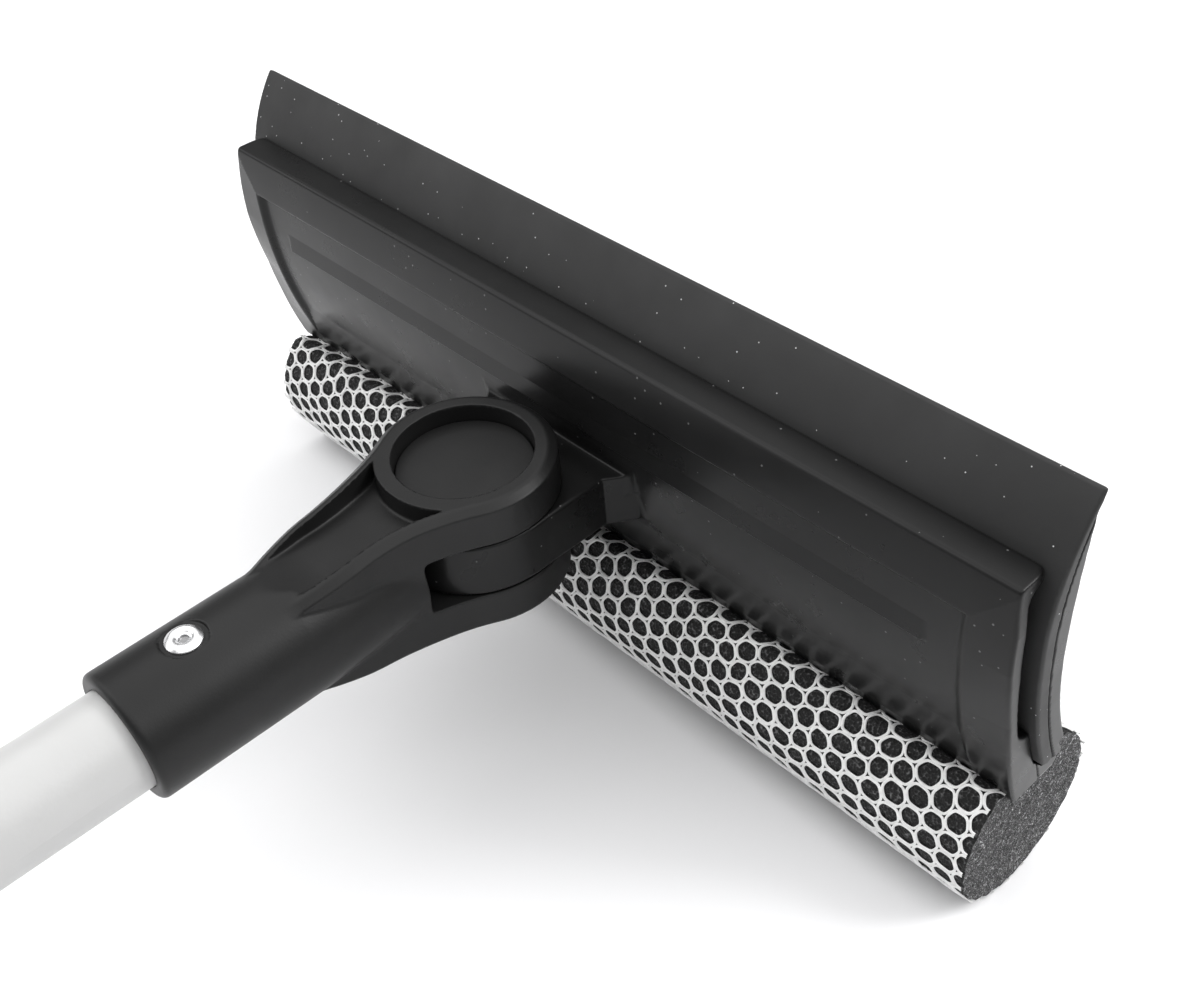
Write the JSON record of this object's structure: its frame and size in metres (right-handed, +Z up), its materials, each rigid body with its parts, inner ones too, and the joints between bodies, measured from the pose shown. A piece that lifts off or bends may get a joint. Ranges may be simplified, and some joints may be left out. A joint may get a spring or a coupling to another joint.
{
  "type": "window cleaning squeegee",
  "caption": "Hand-held window squeegee: a curved rubber blade and a net-covered foam roll share a shell that swivels in the fork of a riveted pole with a grip and hanging cap.",
  "frame": {"origin": "centre of the bounding box on the surface that the tool lies on: it rests on the net's lowest line and on the rounded edge of the end cap's collar", "axes": "+Y along the pole from the hanging lug to the head, +X along the blade, +Z up; the pole itself rises 5.86 degrees towards the head, and the swivel axis leans back by the same angle"},
  "size_m": [0.246, 0.5147, 0.1123],
  "materials": {
    "shell_gloss": "glossy moulded plastic, black",
    "fork": "satin moulded plastic, charcoal",
    "swivel_pin": "satin moulded plastic, charcoal",
    "end_cap": "satin moulded plastic, charcoal",
    "bearing": "natural acetal, smooth",
    "carrier": "matte moulded plastic, black",
    "blade_rubber": "matte natural rubber, dark grey",
    "grip_rubber": "soft moulded rubber, black",
    "foam": "open-cell foam, near black",
    "net": "knitted hexagonal net, white",
    "pole": "powder coated, near white, fine orange peel",
    "rivet": "bright, drawn",
    "mandrel": "snapped end",
    "screws": "zinc plated",
    "spring_steel": "spring steel"
  },
  "bodies": {
    "handle": {"fork_socket": "fork", "pivot_pin": "swivel_pin", "pin_retainer": "swivel_pin", "retainer_screw": "screws", "wave_washer": "spring_steel", "pole_tube": "pole", "socket_rivet": "rivet", "rivet_mandrel": "mandrel", "hand_grip": "grip_rubber", "end_cap": "end_cap"},
    "head": {"front_shell": "shell_gloss", "back_shell": "shell_gloss", "rubber_blade": "blade_rubber", "sponge_carrier": "carrier", "foam_sponge": "foam", "net_sleeve": "net", "shell_screws": "screws", "tongue_bush": "bearing", "upper_friction_washer": "bearing", "lower_friction_washer": "bearing"}
  },
  "joints": [
    {"name": "head_swivel", "type": "hinge", "parent": "handle", "child": "head", "pos_m": [0, 0.18895, 0.07466], "axis": [0, -0.1021, 0.9948], "range_deg": [-90, 90]}
  ]
}
